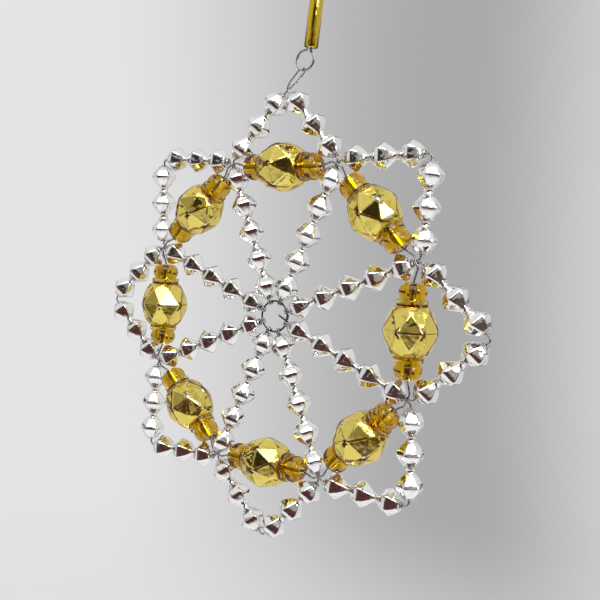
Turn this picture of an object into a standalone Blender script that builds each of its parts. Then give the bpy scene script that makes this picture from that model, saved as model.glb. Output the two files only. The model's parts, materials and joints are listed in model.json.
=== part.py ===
"""Beaded star ornament: silvered glass rods, gold beads and amber seed beads strung on wire, with a hanger.

Run with blender --background --python part.py. Metres, +Z up. The origin is where the hook hangs, and the
star lies in the XZ plane and faces -Y.
"""

import math

import bmesh
import bpy
from mathutils import Vector

MM = 0.001

# Counts
PETALS = 8
SPOKE_BEADS = 5
PETAL_BEADS = 3
FACETS = 6
GOLD_FACETS = 7

# Silvered rods: hollow faceted beads joined by necks, with a smaller bead next to the hub
BEAD_DIAMETER = 5.0 * MM
HUB_BEAD_DIAMETER = 4.6 * MM
BEAD_SHOULDER = 0.72
BEAD_LENGTH = 4.6 * MM
NECK_LENGTH = 0.75 * MM
GLASS_WALL = 0.35 * MM

# Gold beads: a row of corners round the middle, a staggered row on each side of it, and a cup at each end
GOLD_DIAMETER = 10.0 * MM
GOLD_ROW_DIAMETER = 7.7 * MM
GOLD_ROW_HEIGHT = 3.1 * MM
GOLD_END_DIAMETER = 6.0 * MM
GOLD_BORE_DIAMETER = 1.6 * MM
GOLD_CUP_LAP = 0.4 * MM
GOLD_CUP_CLEARANCE = 0.14 * MM

# Amber seed beads
SEED_DIAMETER = 4.9 * MM
SEED_LENGTH = 3.3 * MM
SEED_FACE_DIAMETER = 3.0 * MM
SEED_BORE_DIAMETER = 1.5 * MM

# Loose beads sit as they fall: each rod with a flat towards the viewer, each gold bead with a roll of its own
VIEWER = Vector((0.55, -0.83, 0.06))
GOLD_ROLLS = [math.radians(roll) for roll in (12, 21, 14, 15, 5, 5, 43, 33)]

# Wires
WIRE_DIAMETER = 0.35 * MM
HANGER_WIRE_DIAMETER = 0.45 * MM
BEND_RADIUS = 0.7 * MM
RING_END_SPACE = 3.2 * MM

# Clearances
BEAD_GAP = 0.2 * MM
SEED_GAP = 0.2 * MM
STRAND_GAP = 0.1 * MM
BORE_CLEARANCE = 0.1 * MM
HUB_GAP = 0.5 * MM
LINK_GAP = 0.05 * MM

# Corners, where a spoke meets two petals and the ring wire
CORNER_REACH = 1.32 * MM
PETAL_START = 0.95 * MM
RING_SAG = 0.35 * MM

# Hub ring
HUB_CUT_ANGLE = math.radians(90)
HUB_LAP = math.radians(18)
HUB_TAIL_LENGTH = 1.5 * MM
HUB_TAIL_SLANT = math.radians(18)

# Wire ends hooked over the hub ring, and wires that pass each other, in steps of one wire and its gap
HOOK_RETURN = 0.4
HOOK_OPENING = 1.25
HOOK_SHANK = 0.6
PASS_OFFSET = 0.6

# Eye of the star, bent to one side above the top petal
EYE_SHIFT = 3.4 * MM
EYE_RISE = 3.5 * MM
EYE_WIDTH = 1.7 * MM

# Hanger
HANGER_EYE_DIAMETER = 3.6 * MM
HANGER_EYE_MOUTH = 0.32 * MM
STEM_SHIFT = 0.9 * MM
TUBE_DIAMETER = 2.5 * MM
TUBE_BORE_DIAMETER = 1.1 * MM
TUBE_LENGTH = 15.0 * MM
TUBE_GAP = 0.12 * MM
HOOK_DIAMETER = 7.0 * MM
HOOK_BEND_RADIUS = 1.5 * MM
HOOK_SLANT = math.radians(45)
HOOK_END_ANGLE = math.radians(185)

# Smoothness of the round pieces, and the longest share of a straight run that a bend may take
SEED_SIDES = 10
SEED_ROWS = 4
TUBE_SIDES = 12
WIRE_BEVEL = 1
BEND_STEPS = 2
RING_BEND_STEPS = 1
EYE_STEPS = 8
HUB_STEPS = 4 * PETALS
HANGER_STEPS = 22
HANGER_BEND_STEPS = 4
BEND_SHARE = 0.45
SETTLING_ROUNDS = 40

# Places worked out from the sizes above
STEP = 2 * math.pi / PETALS
HALF = STEP / 2
BEAD_PITCH = BEAD_LENGTH + NECK_LENGTH
BORE_RADIUS = (WIRE_DIAMETER + STRAND_GAP / 2 + BORE_CLEARANCE) / math.cos(math.pi / FACETS)
NECK_RADIUS = BORE_RADIUS + GLASS_WALL
STRAND_OFFSET = (WIRE_DIAMETER + STRAND_GAP) / 2
WIRE_STEP = WIRE_DIAMETER + STRAND_GAP


def rod_length(beads):
    return beads * BEAD_LENGTH + (beads - 1) * NECK_LENGTH


# Spokes stand just far enough out for their inner beads to clear each other round the hub
SPOKE_FIRST = (HUB_BEAD_DIAMETER / 2 * math.cos(HALF) + BEAD_GAP / 2) / math.sin(HALF)
SPOKE_START = SPOKE_FIRST - BEAD_LENGTH / 2
SPOKE_END = SPOKE_START + rod_length(SPOKE_BEADS)
SPOKE_MIDDLE = (SPOKE_START + SPOKE_END) / 2
HUB_RADIUS = SPOKE_START - HUB_GAP - WIRE_DIAMETER / 2
CORNER_RADIUS = SPOKE_END + CORNER_REACH
CROSSING_RADIUS = SPOKE_END + BEAD_GAP + WIRE_DIAMETER


def petal_triangle():
    """Half the angle at a petal's tip, and the length of its side, so that its two rods just clear there."""
    half_angle = math.pi / 4
    for _ in range(SETTLING_ROUNDS):
        tip_way = NECK_RADIUS / math.tan(half_angle) + BEAD_GAP / math.sin(half_angle)
        side = PETAL_START + rod_length(PETAL_BEADS) + tip_way
        half_angle = math.asin(CORNER_RADIUS * math.sin(HALF) / side)
    return half_angle, side


PETAL_ANGLE, PETAL_SIDE = petal_triangle()
TIP_RADIUS = CORNER_RADIUS * math.cos(HALF) + PETAL_SIDE * math.cos(PETAL_ANGLE)
PETAL_MIDDLE = PETAL_START + rod_length(PETAL_BEADS) / 2

# Gold and seed beads fill the stretch of ring wire between two spokes
RING_RADIUS = CROSSING_RADIUS * math.cos(HALF) - RING_SAG
SEED_REACH = math.hypot(SEED_DIAMETER / 2 * math.sin(HALF), SEED_LENGTH / 2 * math.cos(HALF))
SEED_PLACE = (RING_RADIUS * math.sin(HALF) - BEAD_DIAMETER / 2 - SEED_REACH - SEED_GAP) / math.cos(HALF)


def seed_radius(height):
    """Radius of a seed bead at this height from its middle: a round barrel with flat faces."""
    face = SEED_FACE_DIAMETER / 2
    bulge = SEED_DIAMETER / 2 - face
    return face + bulge * math.sqrt(1 - (2 * height / SEED_LENGTH) ** 2)


# A gold bead's cups stand round the ends of its seed beads
GOLD_CUP_FLOOR = SEED_PLACE - SEED_LENGTH / 2 - BEAD_GAP
GOLD_CUP_RIM = SEED_PLACE - SEED_LENGTH / 2 + GOLD_CUP_LAP
GOLD_CUP_SIDES = 2 * GOLD_FACETS
GOLD_CUP_RADIUS = seed_radius(SEED_LENGTH / 2 - GOLD_CUP_LAP) + GOLD_CUP_CLEARANCE
GOLD_CUP_RADIUS /= math.cos(math.pi / GOLD_CUP_SIDES)
GOLD_BODY_END = GOLD_CUP_FLOOR - GLASS_WALL

# The star hangs with its hub straight below the link between the two eyes
EYE_TOP = Vector((EYE_SHIFT, 0, TIP_RADIUS + EYE_RISE))
STAR_LEAN = math.atan2(EYE_TOP.x, EYE_TOP.z)
HOOK_CENTRE = Vector((0, 0, HANGER_WIRE_DIAMETER / 2 - HOOK_DIAMETER / 2))


def hook_bend_centre():
    """Centre of the bend that leads from the stem into the slanted run below the hook's round."""
    run_top = HOOK_CENTRE.z - HOOK_DIAMETER / 2 * math.sin(HOOK_SLANT)
    run_reach = HOOK_DIAMETER / 2 * math.cos(HOOK_SLANT) - STEM_SHIFT
    run_reach -= HOOK_BEND_RADIUS * (1 - math.cos(HOOK_SLANT))
    run_drop = run_reach / math.tan(HOOK_SLANT)
    height = run_top - run_drop - HOOK_BEND_RADIUS * math.sin(HOOK_SLANT)
    return Vector((STEM_SHIFT + HOOK_BEND_RADIUS, 0, height))


STEM_TOP = hook_bend_centre().z
TUBE_TOP = STEM_TOP - TUBE_GAP
TUBE_BOTTOM = TUBE_TOP - TUBE_LENGTH
HANGER_EYE_RADIUS = HANGER_EYE_DIAMETER / 2
HANGER_EYE_CENTRE = Vector((0, 0, TUBE_BOTTOM - TUBE_GAP - HANGER_WIRE_DIAMETER / 2 - HANGER_EYE_RADIUS))
LINK = HANGER_EYE_CENTRE - Vector((0, 0, HANGER_EYE_RADIUS))
EYE_OVER_LINK = (HANGER_WIRE_DIAMETER + WIRE_DIAMETER) / 2 + LINK_GAP
HUB_DROP = EYE_TOP.length - EYE_OVER_LINK


def clear_scene():
    for obj in list(bpy.data.objects):
        bpy.data.objects.remove(obj, do_unlink=True)


def new_collection(name):
    collection = bpy.data.collections.new(name)
    bpy.context.scene.collection.children.link(collection)
    return collection


def material(name, colour, roughness, metallic, transmission=0.0):
    made = bpy.data.materials.new(name)
    made.use_nodes = True
    shader = made.node_tree.nodes["Principled BSDF"]
    shader.inputs["Base Color"].default_value = (*colour, 1)
    shader.inputs["Roughness"].default_value = roughness
    shader.inputs["Metallic"].default_value = metallic
    shader.inputs["Transmission Weight"].default_value = transmission
    return made


def place(obj, collection, parent=None, location=(0, 0, 0), turn=0.0, roll=0.0):
    """Links an object and turns it about Y, after a roll about its own Z axis."""
    collection.objects.link(obj)
    obj.parent = parent
    obj.location = location
    obj.rotation_mode = "ZYX"
    obj.rotation_euler = (0, turn, roll)
    return obj


def outward(angle):
    """Unit vector from the hub at this angle, clockwise from the top as seen from the front."""
    return Vector((math.sin(angle), 0, math.cos(angle)))


def sideways(angle):
    return Vector((math.cos(angle), 0, -math.sin(angle)))


def profile_mesh(name, outline, finish):
    """A closed outline of (radius, height) points, ready for a Screw modifier."""
    mesh = bpy.data.meshes.new(name)
    shape = bmesh.new()
    points = [shape.verts.new((radius, 0, height)) for radius, height in outline]
    for first, second in zip(points, points[1:] + points[:1]):
        shape.edges.new((first, second))
    shape.to_mesh(mesh)
    shape.free()
    mesh.materials.append(finish)
    return mesh


def turned(name, mesh, sides, smooth):
    obj = bpy.data.objects.new(name, mesh)
    screw = obj.modifiers.new("turn", "SCREW")
    screw.axis = "Z"
    screw.angle = 2 * math.pi
    screw.steps = sides
    screw.render_steps = sides
    screw.use_merge_vertices = True
    screw.merge_threshold = 1e-6
    screw.use_smooth_shade = smooth
    return obj


def rod_outline(beads, last_diameter):
    """Half section of a hollow rod of beads, centred on the origin: down the outside, then up the inside."""
    middle = (beads - 1) / 2
    outside = []
    inside = []
    for bead in range(beads):
        height = (middle - bead) * BEAD_PITCH
        radius = (last_diameter if bead == beads - 1 else BEAD_DIAMETER) / 2
        outside.append((NECK_RADIUS, height + BEAD_LENGTH / 2))
        outside.append((radius * BEAD_SHOULDER, height + BEAD_LENGTH / 4))
        outside.append((radius, height))
        outside.append((radius * BEAD_SHOULDER, height - BEAD_LENGTH / 4))
        outside.append((NECK_RADIUS, height - BEAD_LENGTH / 2))
        inside.append((BORE_RADIUS, height + BEAD_PITCH / 2))
        inside.append((radius - GLASS_WALL, height))
    end = rod_length(beads) / 2
    inside[0] = (BORE_RADIUS, end)
    inside.append((BORE_RADIUS, -end))
    return outside + inside[::-1]


def seed_outline():
    """Half section of a seed bead with its wide bore."""
    outside = []
    for step in range(SEED_ROWS + 1):
        height = SEED_LENGTH / 2 * math.cos(math.pi * step / SEED_ROWS)
        outside.append((seed_radius(height), height))
    bore = SEED_BORE_DIAMETER / 2
    return outside + [(bore, -SEED_LENGTH / 2), (bore, SEED_LENGTH / 2)]


def tube_outline():
    radius = TUBE_DIAMETER / 2
    bore = TUBE_BORE_DIAMETER / 2
    half = TUBE_LENGTH / 2
    return [(radius, half), (radius, -half), (bore, -half), (bore, half)]


def ring_of_points(radius, height, turn):
    """One row of a gold bead's corners."""
    row = []
    for facet in range(GOLD_FACETS):
        angle = 2 * math.pi * facet / GOLD_FACETS + turn
        row.append(Vector((radius * math.cos(angle), radius * math.sin(angle), height)))
    return row


def faceted_ball(name, inset):
    """Bands of triangles between staggered rows of corners, all moved in by the inset."""
    stagger = math.pi / GOLD_FACETS
    row_radius = GOLD_ROW_DIAMETER / 2 - inset
    end_radius = GOLD_END_DIAMETER / 2 - inset
    points = ring_of_points(GOLD_DIAMETER / 2 - inset, 0, 0)
    for side in (-1, 1):
        points += ring_of_points(row_radius, GOLD_ROW_HEIGHT * side, stagger)
        points += ring_of_points(end_radius, (GOLD_BODY_END - inset) * side, 0)
    mesh = bpy.data.meshes.new(name)
    shape = bmesh.new()
    for point in points:
        shape.verts.new(point)
    bmesh.ops.convex_hull(shape, input=shape.verts)
    shape.to_mesh(mesh)
    shape.free()
    return bpy.data.objects.new(name, mesh)


def cylinder(name, radius, bottom, top):
    mesh = bpy.data.meshes.new(name)
    shape = bmesh.new()
    depth = top - bottom
    bmesh.ops.create_cone(
        shape, cap_ends=True, segments=GOLD_CUP_SIDES, radius1=radius, radius2=radius, depth=depth
    )
    bmesh.ops.translate(shape, verts=shape.verts, vec=(0, 0, (top + bottom) / 2))
    shape.to_mesh(mesh)
    shape.free()
    return bpy.data.objects.new(name, mesh)


def hide_cutter(obj):
    obj.hide_render = True
    obj.display_type = "WIRE"


def gold_mesh(cutters, finish):
    """A hollow faceted bead with a cup at each end, joined and bored by Booleans."""
    beyond = 2 * GOLD_CUP_RIM
    body = faceted_ball("gold_body", 0)
    steps = [
        (cylinder("gold_collar", GOLD_CUP_RADIUS + GLASS_WALL, -GOLD_CUP_RIM, GOLD_CUP_RIM), "UNION"),
        (faceted_ball("gold_hollow", GLASS_WALL), "DIFFERENCE"),
        (cylinder("gold_cup_low", GOLD_CUP_RADIUS, -beyond, -GOLD_CUP_FLOOR), "DIFFERENCE"),
        (cylinder("gold_cup_high", GOLD_CUP_RADIUS, GOLD_CUP_FLOOR, beyond), "DIFFERENCE"),
        (cylinder("gold_bore", GOLD_BORE_DIAMETER / 2, -beyond, beyond), "DIFFERENCE"),
    ]
    for obj, operation in steps:
        place(obj, cutters)
        hide_cutter(obj)
        boolean = body.modifiers.new(obj.name, "BOOLEAN")
        boolean.operation = operation
        boolean.object = obj
    place(body, cutters)
    bpy.context.view_layer.update()
    graph = bpy.context.evaluated_depsgraph_get()
    mesh = bpy.data.meshes.new_from_object(body.evaluated_get(graph))
    mesh.name = "gold_bead"
    mesh.materials.clear()
    mesh.materials.append(finish)
    bpy.data.objects.remove(body, do_unlink=True)
    return mesh


def rounded(corners, radius, steps):
    """The corner points with each inner corner replaced by an arc, as a bent wire has it."""
    path = [corners[0]]
    for before, corner, after in zip(corners, corners[1:], corners[2:]):
        back = before - corner
        ahead = after - corner
        opening = back.angle(ahead)
        tangent = min(radius / math.tan(opening / 2), BEND_SHARE * min(back.length, ahead.length))
        arc_radius = tangent * math.tan(opening / 2)
        bisector = (back.normalized() + ahead.normalized()).normalized()
        centre = corner + bisector * arc_radius / math.sin(opening / 2)
        start = corner + back.normalized() * tangent - centre
        finish = corner + ahead.normalized() * tangent - centre
        for step in range(steps + 1):
            path.append(centre + start.normalized().slerp(finish.normalized(), step / steps) * start.length)
    return path + [corners[-1]]


def wire(name, points, diameter, finish):
    curve = bpy.data.curves.new(name, "CURVE")
    curve.dimensions = "3D"
    curve.bevel_depth = diameter / 2
    curve.bevel_resolution = WIRE_BEVEL
    curve.use_fill_caps = True
    spline = curve.splines.new("POLY")
    spline.points.add(len(points) - 1)
    for slot, point in zip(spline.points, points):
        slot.co = (*point, 1)
    curve.materials.append(finish)
    return bpy.data.objects.new(name, curve)


def spoke_point(spoke, radius, aside, depth=0.0):
    """A point beside a spoke: aside is positive towards the next petal clockwise."""
    angle = STEP * spoke - HALF
    return outward(angle) * radius + sideways(angle) * aside + Vector((0, depth, 0))


def hub_hook(spoke, aside):
    """A strand's end hooked over the hub ring, from its cut end outwards."""
    return [
        spoke_point(spoke, HUB_RADIUS + WIRE_STEP * HOOK_RETURN, aside, WIRE_STEP * HOOK_OPENING),
        spoke_point(spoke, HUB_RADIUS - WIRE_STEP, aside, WIRE_STEP),
        spoke_point(spoke, HUB_RADIUS - WIRE_STEP, aside, -WIRE_STEP),
        spoke_point(spoke, HUB_RADIUS + WIRE_STEP * HOOK_SHANK, aside, -WIRE_STEP),
        spoke_point(spoke, SPOKE_START + WIRE_STEP, aside),
    ]


def petal_half(spoke, side, tip):
    """Corners of half a petal wire: from the hub along a spoke, round its corner and up to the tip."""
    aside = STRAND_OFFSET * side
    return hub_hook(spoke, aside) + [spoke_point(spoke, CORNER_RADIUS, aside), tip]


def petal_wire_path(petal):
    tip = outward(STEP * petal) * TIP_RADIUS
    left = petal_half(petal, 1, tip)
    right = petal_half(petal + 1, -1, tip)
    return rounded(left + right[-2::-1], BEND_RADIUS, BEND_STEPS)


def eye_wire_path():
    """The top petal's wire: its halves pass each other at the tip and rise as a narrow eye, edge on."""
    tip = Vector((0, 0, TIP_RADIUS))
    slant = (EYE_TOP - tip).normalized()
    width = Vector((0, EYE_WIDTH / 2, 0))
    pass_by = Vector((0, WIRE_STEP * PASS_OFFSET, 0))
    leg = tip + slant * EYE_WIDTH
    round_centre = EYE_TOP - slant * EYE_WIDTH / 2
    round_top = []
    for step in range(EYE_STEPS + 1):
        angle = math.pi * step / EYE_STEPS
        round_top.append(round_centre + width * math.cos(angle) + slant * EYE_WIDTH / 2 * math.sin(angle))
    left = petal_half(0, 1, tip + pass_by) + [leg + width, round_top[0]]
    right = petal_half(1, -1, tip - pass_by) + [leg - width, round_top[-1]]
    rising = rounded(left, BEND_RADIUS, BEND_STEPS)
    falling = rounded(right, BEND_RADIUS, BEND_STEPS)[::-1]
    return rising + round_top[1:-1] + falling


def ring_wire_path():
    """Through every gold and seed bead, and in front of each corner; both ends lie in one gold bead."""
    front = -(WIRE_STEP + STRAND_GAP)
    clear = NECK_RADIUS + BEAD_GAP
    seed_end = SEED_PLACE + SEED_LENGTH / 2
    end = outward(0) * RING_RADIUS
    corners = [end + sideways(0) * RING_END_SPACE / 2]
    for spoke in range(1, PETALS + 1):
        before = STEP * (spoke - 1)
        after = STEP * spoke
        corners.append(outward(before) * RING_RADIUS + sideways(before) * seed_end)
        corners.append(spoke_point(spoke, CROSSING_RADIUS, -clear, front / 2))
        corners.append(spoke_point(spoke, CROSSING_RADIUS, 0, front))
        corners.append(spoke_point(spoke, CROSSING_RADIUS, clear, front / 2))
        corners.append(outward(after) * RING_RADIUS - sideways(after) * seed_end)
    corners.append(end - sideways(0) * RING_END_SPACE / 2)
    return rounded(corners, BEND_RADIUS, RING_BEND_STEPS)


def hub_ring_path():
    """One turn and a lap round the hub; one end lies behind the other, which turns in as a cut tail."""
    turn = 2 * math.pi + HUB_LAP
    points = []
    for step in range(HUB_STEPS + 1):
        done = turn * step / HUB_STEPS
        from_end = min(done, turn - done)
        lift = WIRE_STEP * PASS_OFFSET * max(0.0, 1 - from_end / HUB_LAP)
        depth = lift if done < turn / 2 else -lift
        angle = HUB_CUT_ANGLE - HUB_LAP / 2 + done
        points.append(outward(angle) * HUB_RADIUS + Vector((0, depth, 0)))
    last = HUB_CUT_ANGLE + HUB_LAP / 2
    points.append(points[-1] + (sideways(last) / 2 - outward(last)) * WIRE_DIAMETER)
    points.append(points[-1] - outward(last + HUB_TAIL_SLANT) * HUB_TAIL_LENGTH)
    return points


def arc(centre, radius, start, end, steps):
    """Points on a circle in the XZ plane, angles from +X towards +Z."""
    points = []
    for step in range(steps + 1):
        angle = start + (end - start) * step / steps
        points.append(centre + Vector((radius * math.cos(angle), 0, radius * math.sin(angle))))
    return points


def hanger_path():
    """Round eye at the bottom, straight stem, and an open hook at the top whose crown is above the eye."""
    stem_angle = math.acos(STEM_SHIFT / HANGER_EYE_RADIUS)
    mouth = (HANGER_WIRE_DIAMETER + HANGER_EYE_MOUTH) / HANGER_EYE_RADIUS
    eye_end = stem_angle + 2 * math.pi
    eye = arc(HANGER_EYE_CENTRE, HANGER_EYE_RADIUS, stem_angle + mouth, eye_end, HANGER_STEPS)
    bend = arc(hook_bend_centre(), HOOK_BEND_RADIUS, math.pi, math.pi - HOOK_SLANT, HANGER_BEND_STEPS)
    hook = arc(HOOK_CENTRE, HOOK_DIAMETER / 2, -HOOK_SLANT, HOOK_END_ANGLE, HANGER_STEPS)
    return eye + bend + hook


def viewer_roll(turn):
    """Roll of a rod, turned like this about Y, that lays one of its flats towards the viewer."""
    return math.atan2(VIEWER.y, VIEWER.dot(sideways(turn))) + math.pi / FACETS


def add_rods(collection, star, finish):
    spoke_mesh = profile_mesh("spoke_rod", rod_outline(SPOKE_BEADS, HUB_BEAD_DIAMETER), finish)
    petal_mesh = profile_mesh("petal_rod", rod_outline(PETAL_BEADS, BEAD_DIAMETER), finish)
    for spoke in range(PETALS):
        angle = STEP * spoke - HALF
        rod = turned(f"spoke_rod_{spoke + 1}", spoke_mesh, FACETS, False)
        place(rod, collection, star, outward(angle) * SPOKE_MIDDLE, angle, viewer_roll(angle))
    for petal in range(PETALS):
        tip = outward(STEP * petal) * TIP_RADIUS
        for side, name in ((0, "left"), (1, "right")):
            corner = spoke_point(petal + side, CORNER_RADIUS, 0)
            along = (tip - corner).normalized()
            turn = math.atan2(along.x, along.z)
            rod = turned(f"petal_rod_{petal + 1}_{name}", petal_mesh, FACETS, False)
            place(rod, collection, star, corner + along * PETAL_MIDDLE, turn, viewer_roll(turn))


def add_ring_beads(collection, cutters, star, gold, amber):
    bead_mesh = gold_mesh(cutters, gold)
    seed_mesh = profile_mesh("seed_bead", seed_outline(), amber)
    for petal in range(PETALS):
        angle = STEP * petal
        centre = outward(angle) * RING_RADIUS
        turn = angle + math.pi / 2
        bead = bpy.data.objects.new(f"gold_bead_{petal + 1}", bead_mesh)
        place(bead, collection, star, centre, turn, GOLD_ROLLS[petal % len(GOLD_ROLLS)])
        for side, name in ((-1, "left"), (1, "right")):
            seed = turned(f"seed_bead_{petal + 1}_{name}", seed_mesh, SEED_SIDES, True)
            place(seed, collection, star, centre + sideways(angle) * SEED_PLACE * side, turn)


def add_wires(collection, star, finish):
    for petal in range(PETALS):
        path = petal_wire_path(petal) if petal else eye_wire_path()
        place(wire(f"petal_wire_{petal + 1}", path, WIRE_DIAMETER, finish), collection, star)
    place(wire("ring_wire", ring_wire_path(), WIRE_DIAMETER, finish), collection, star)
    place(wire("hub_ring", hub_ring_path(), WIRE_DIAMETER, finish), collection, star)


def add_hanger(collection, finish, gold):
    place(wire("hanger_wire", hanger_path(), HANGER_WIRE_DIAMETER, finish), collection)
    tube = turned("hanger_tube", profile_mesh("hanger_tube", tube_outline(), gold), TUBE_SIDES, True)
    place(tube, collection, None, (STEM_SHIFT, 0, (TUBE_TOP + TUBE_BOTTOM) / 2))


def main():
    clear_scene()
    ornament = new_collection("beaded_star_ornament")
    cutters = new_collection("cutters")
    silver = material("silvered_glass", (0.92, 0.92, 0.93), 0.06, 1.0)
    gold = material("gold_silvered_glass", (0.95, 0.76, 0.28), 0.07, 1.0)
    amber = material("amber_glass", (0.85, 0.50, 0.02), 0.05, 0.0, 0.8)
    steel = material("steel_wire", (0.55, 0.55, 0.57), 0.25, 1.0)
    tube_gold = material("gold_tube", (0.93, 0.72, 0.25), 0.1, 1.0)
    swing = place(bpy.data.objects.new("star_swing", None), ornament, None, LINK)
    star = bpy.data.objects.new("star_frame", None)
    place(star, ornament, swing, (0, 0, -HUB_DROP), -STAR_LEAN)
    add_rods(ornament, star, silver)
    add_ring_beads(ornament, cutters, star, gold, amber)
    add_wires(ornament, star, steel)
    add_hanger(ornament, steel, tube_gold)


if __name__ == "__main__":
    main()
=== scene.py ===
import json
import math

import bmesh
import bpy
from mathutils import Matrix, Vector


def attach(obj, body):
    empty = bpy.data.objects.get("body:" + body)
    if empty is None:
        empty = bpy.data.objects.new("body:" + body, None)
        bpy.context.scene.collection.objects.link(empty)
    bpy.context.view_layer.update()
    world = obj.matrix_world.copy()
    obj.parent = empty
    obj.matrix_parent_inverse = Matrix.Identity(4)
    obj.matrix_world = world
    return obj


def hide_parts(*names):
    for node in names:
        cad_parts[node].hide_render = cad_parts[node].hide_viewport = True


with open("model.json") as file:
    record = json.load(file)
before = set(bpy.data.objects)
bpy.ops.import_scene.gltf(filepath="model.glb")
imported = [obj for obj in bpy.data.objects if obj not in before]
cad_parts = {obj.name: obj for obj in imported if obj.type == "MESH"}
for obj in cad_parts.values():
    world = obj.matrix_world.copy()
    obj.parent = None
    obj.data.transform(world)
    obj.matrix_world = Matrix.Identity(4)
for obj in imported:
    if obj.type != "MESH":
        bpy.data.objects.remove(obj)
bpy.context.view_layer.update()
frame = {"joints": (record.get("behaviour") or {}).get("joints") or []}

bl_info = {
    "name": "Beaded Star Ornament",
    "version": (1, 0, 0),
    "blender": (4, 5, 0),
    "location": "View3D > Sidebar > Ornament",
    "description": "Dresses a wired star of silvered glass rods, gold beads and amber seed beads",
    "category": "Object",
}

MM = 0.001
PETALS = 8
SPOKE_BEADS = 5
PETAL_BEADS = 3
STEP = 2 * math.pi / PETALS
HALF = STEP / 2
BACK = Vector((0, 1, 0))

# Bounces of light that a silvered film inside faceted glass needs, so that its necks don't turn black
BOUNCES = 40

# Where the backdrop's upright shaded band starts, is darkest and ends, along the camera's right
BAND_START = -0.26
BAND_DARKEST = (0.18, 0.2)
BAND_END = 0.42

# Where the backdrop turns into the sides and the sides into the room, along the camera's way ahead,
# and where all of it turns into the ceiling, along the way up
SIDES_FADE = (0.86, 0.55)
ROOM_FADE = (0.1, -0.45)
CEILING_FADE = (0.42, 0.66)

# Cards round the star that only mirrors show: name, colour and stand-off in metres,
# then turn, half width, low and high in degrees from the camera's way
CARDS = (
    ("flag_dark", "shade", 0.6, -22, 29, 4, 20),
    ("flag_red", "flag", 0.6, -4, 30, -38, 3),
    ("flag_right", "drab", 0.6, 50, 28, -48, -4),
    ("flag_left", "drab", 0.6, -56, 28, -55, -8),
    ("strip_right", "shade", 0.6, 112, 34, -3, 4),
    ("strip_left", "shade", 0.6, -112, 34, -3, 4),
    ("screen", "screen", 0.66, -6, 78, -58, 34),
)
CARD_STEPS = 12
CARD_FOLD_SCALE = 3.0
CARD_FOLD_SHADE = 0.3

# The round floor, where it is clear and where it is solid, in metres, and the grain of its paper
FLOOR_RADIUS = 0.6
FLOOR_SIDES = 96
FLOOR_FADE = (0.58, 0.12)
PAPER_SCALE = 8.0
PAPER_SHADE = 0.97

# The camera in the star's frame: its right, its down, its way ahead, and its place in millimetres
CAMERA_RIGHT = Vector((0.83689, 0.54428, 0.05806))
CAMERA_DOWN = Vector((0.08027, -0.01711, -0.99663))
CAMERA_AHEAD = Vector((-0.54145, 0.83873, -0.05801))
CAMERA_PLACE = Vector((81.33, -117.69, 11.58))
SENSOR_WIDTH = 36.0
NEAREST_SEEN = 0.005

# The soft light and the small window: turn and rise from the camera's way, stand-off and widths in metres
LIGHT_TURN = math.radians(-12)
LIGHT_RISE = math.radians(57)
LIGHT_DISTANCE = 0.52
LIGHT_WIDTH = 0.36
WINDOW_TURN = math.radians(38)
WINDOW_RISE = math.radians(27)
WINDOW_WIDTH = 0.19

# How each gold bead sits on the ring wire; the rods lie with a flat towards the viewer
GOLD_ROLLS = [math.radians(roll) for roll in (12, 21, 14, 15, 5, 5, 43, 33)]
VIEWER = Vector((0.55, -0.83, 0.06))
ROD_SIDES = 6

# Rows of points from a bead's neck to its middle, and from one ridge to the next, closer where it bends
BELLY_ROWS = (0.0, 0.1, 0.26, 0.45, 0.66, 0.8, 0.88, 0.94, 0.98)
RIDGE_PLACES = (0.0, 0.045, 0.13, 0.3, 0.5, 0.7, 0.87, 0.955)
GLASS_SHARPNESS = 28
FILM_SHARPNESS = 26
BELLY_ROUNDNESS = 0.45
FILM_ROUNDNESS = 1.5
NECK_ROUND_SHARE = 0.3

# Points round the seed beads, tubes and round cutters, and rows from face to face of a seed bead
SEED_SIDES = 48
SEED_ROWS = 16
TUBE_SIDES = 40
BAR_SIDES = 48

# Moulded edges: steps in their rounding, what counts as flat or sharp, and how much broad facets weigh
EDGE_STEPS = 3
FLAT_ANGLE = math.radians(1)
SHARP_ANGLE = math.radians(50)
FACET_WEIGHT = 50

# Points along the arcs of the wires, and the largest share of a straight run that a bend may take
BEND_STEPS = 6
RING_BEND_STEPS = 5
EYE_STEPS = 20
HUB_STEPS = 96
HANGER_STEPS = 60
HOOK_BEND_STEPS = 10
BEND_SHARE = 0.45

# A petal wire's hook over the hub ring, in wire diameters, and its ends as shares of the hook
HOOK_SIZE = 1.05
HOOK_TAIL_OUT = 0.3
HOOK_TAIL_BACK = 1.1
HOOK_FRONT_OUT = 0.6

# How far two strands that pass each other stand off, in strand steps, and the lean of the hub's cut tail
PASS_SHARE = 0.6
TAIL_LEAN = math.radians(18)


def length(name, description, millimetres):
    """A length property, with its default given in millimetres."""
    return bpy.props.FloatProperty(
        name=name, description=description, default=millimetres * MM, min=0, unit="LENGTH", precision=5
    )


def degrees(name, description, value):
    return bpy.props.FloatProperty(
        name=name, description=description, default=math.radians(value), subtype="ANGLE"
    )


def colour(name, description, value):
    return bpy.props.FloatVectorProperty(
        name=name, description=description, default=value, size=3, min=0, max=1, subtype="COLOR"
    )


def amount(name, description, value, high, unit="NONE"):
    return bpy.props.FloatProperty(
        name=name, description=description, default=value, min=0, max=high, unit=unit
    )


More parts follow.
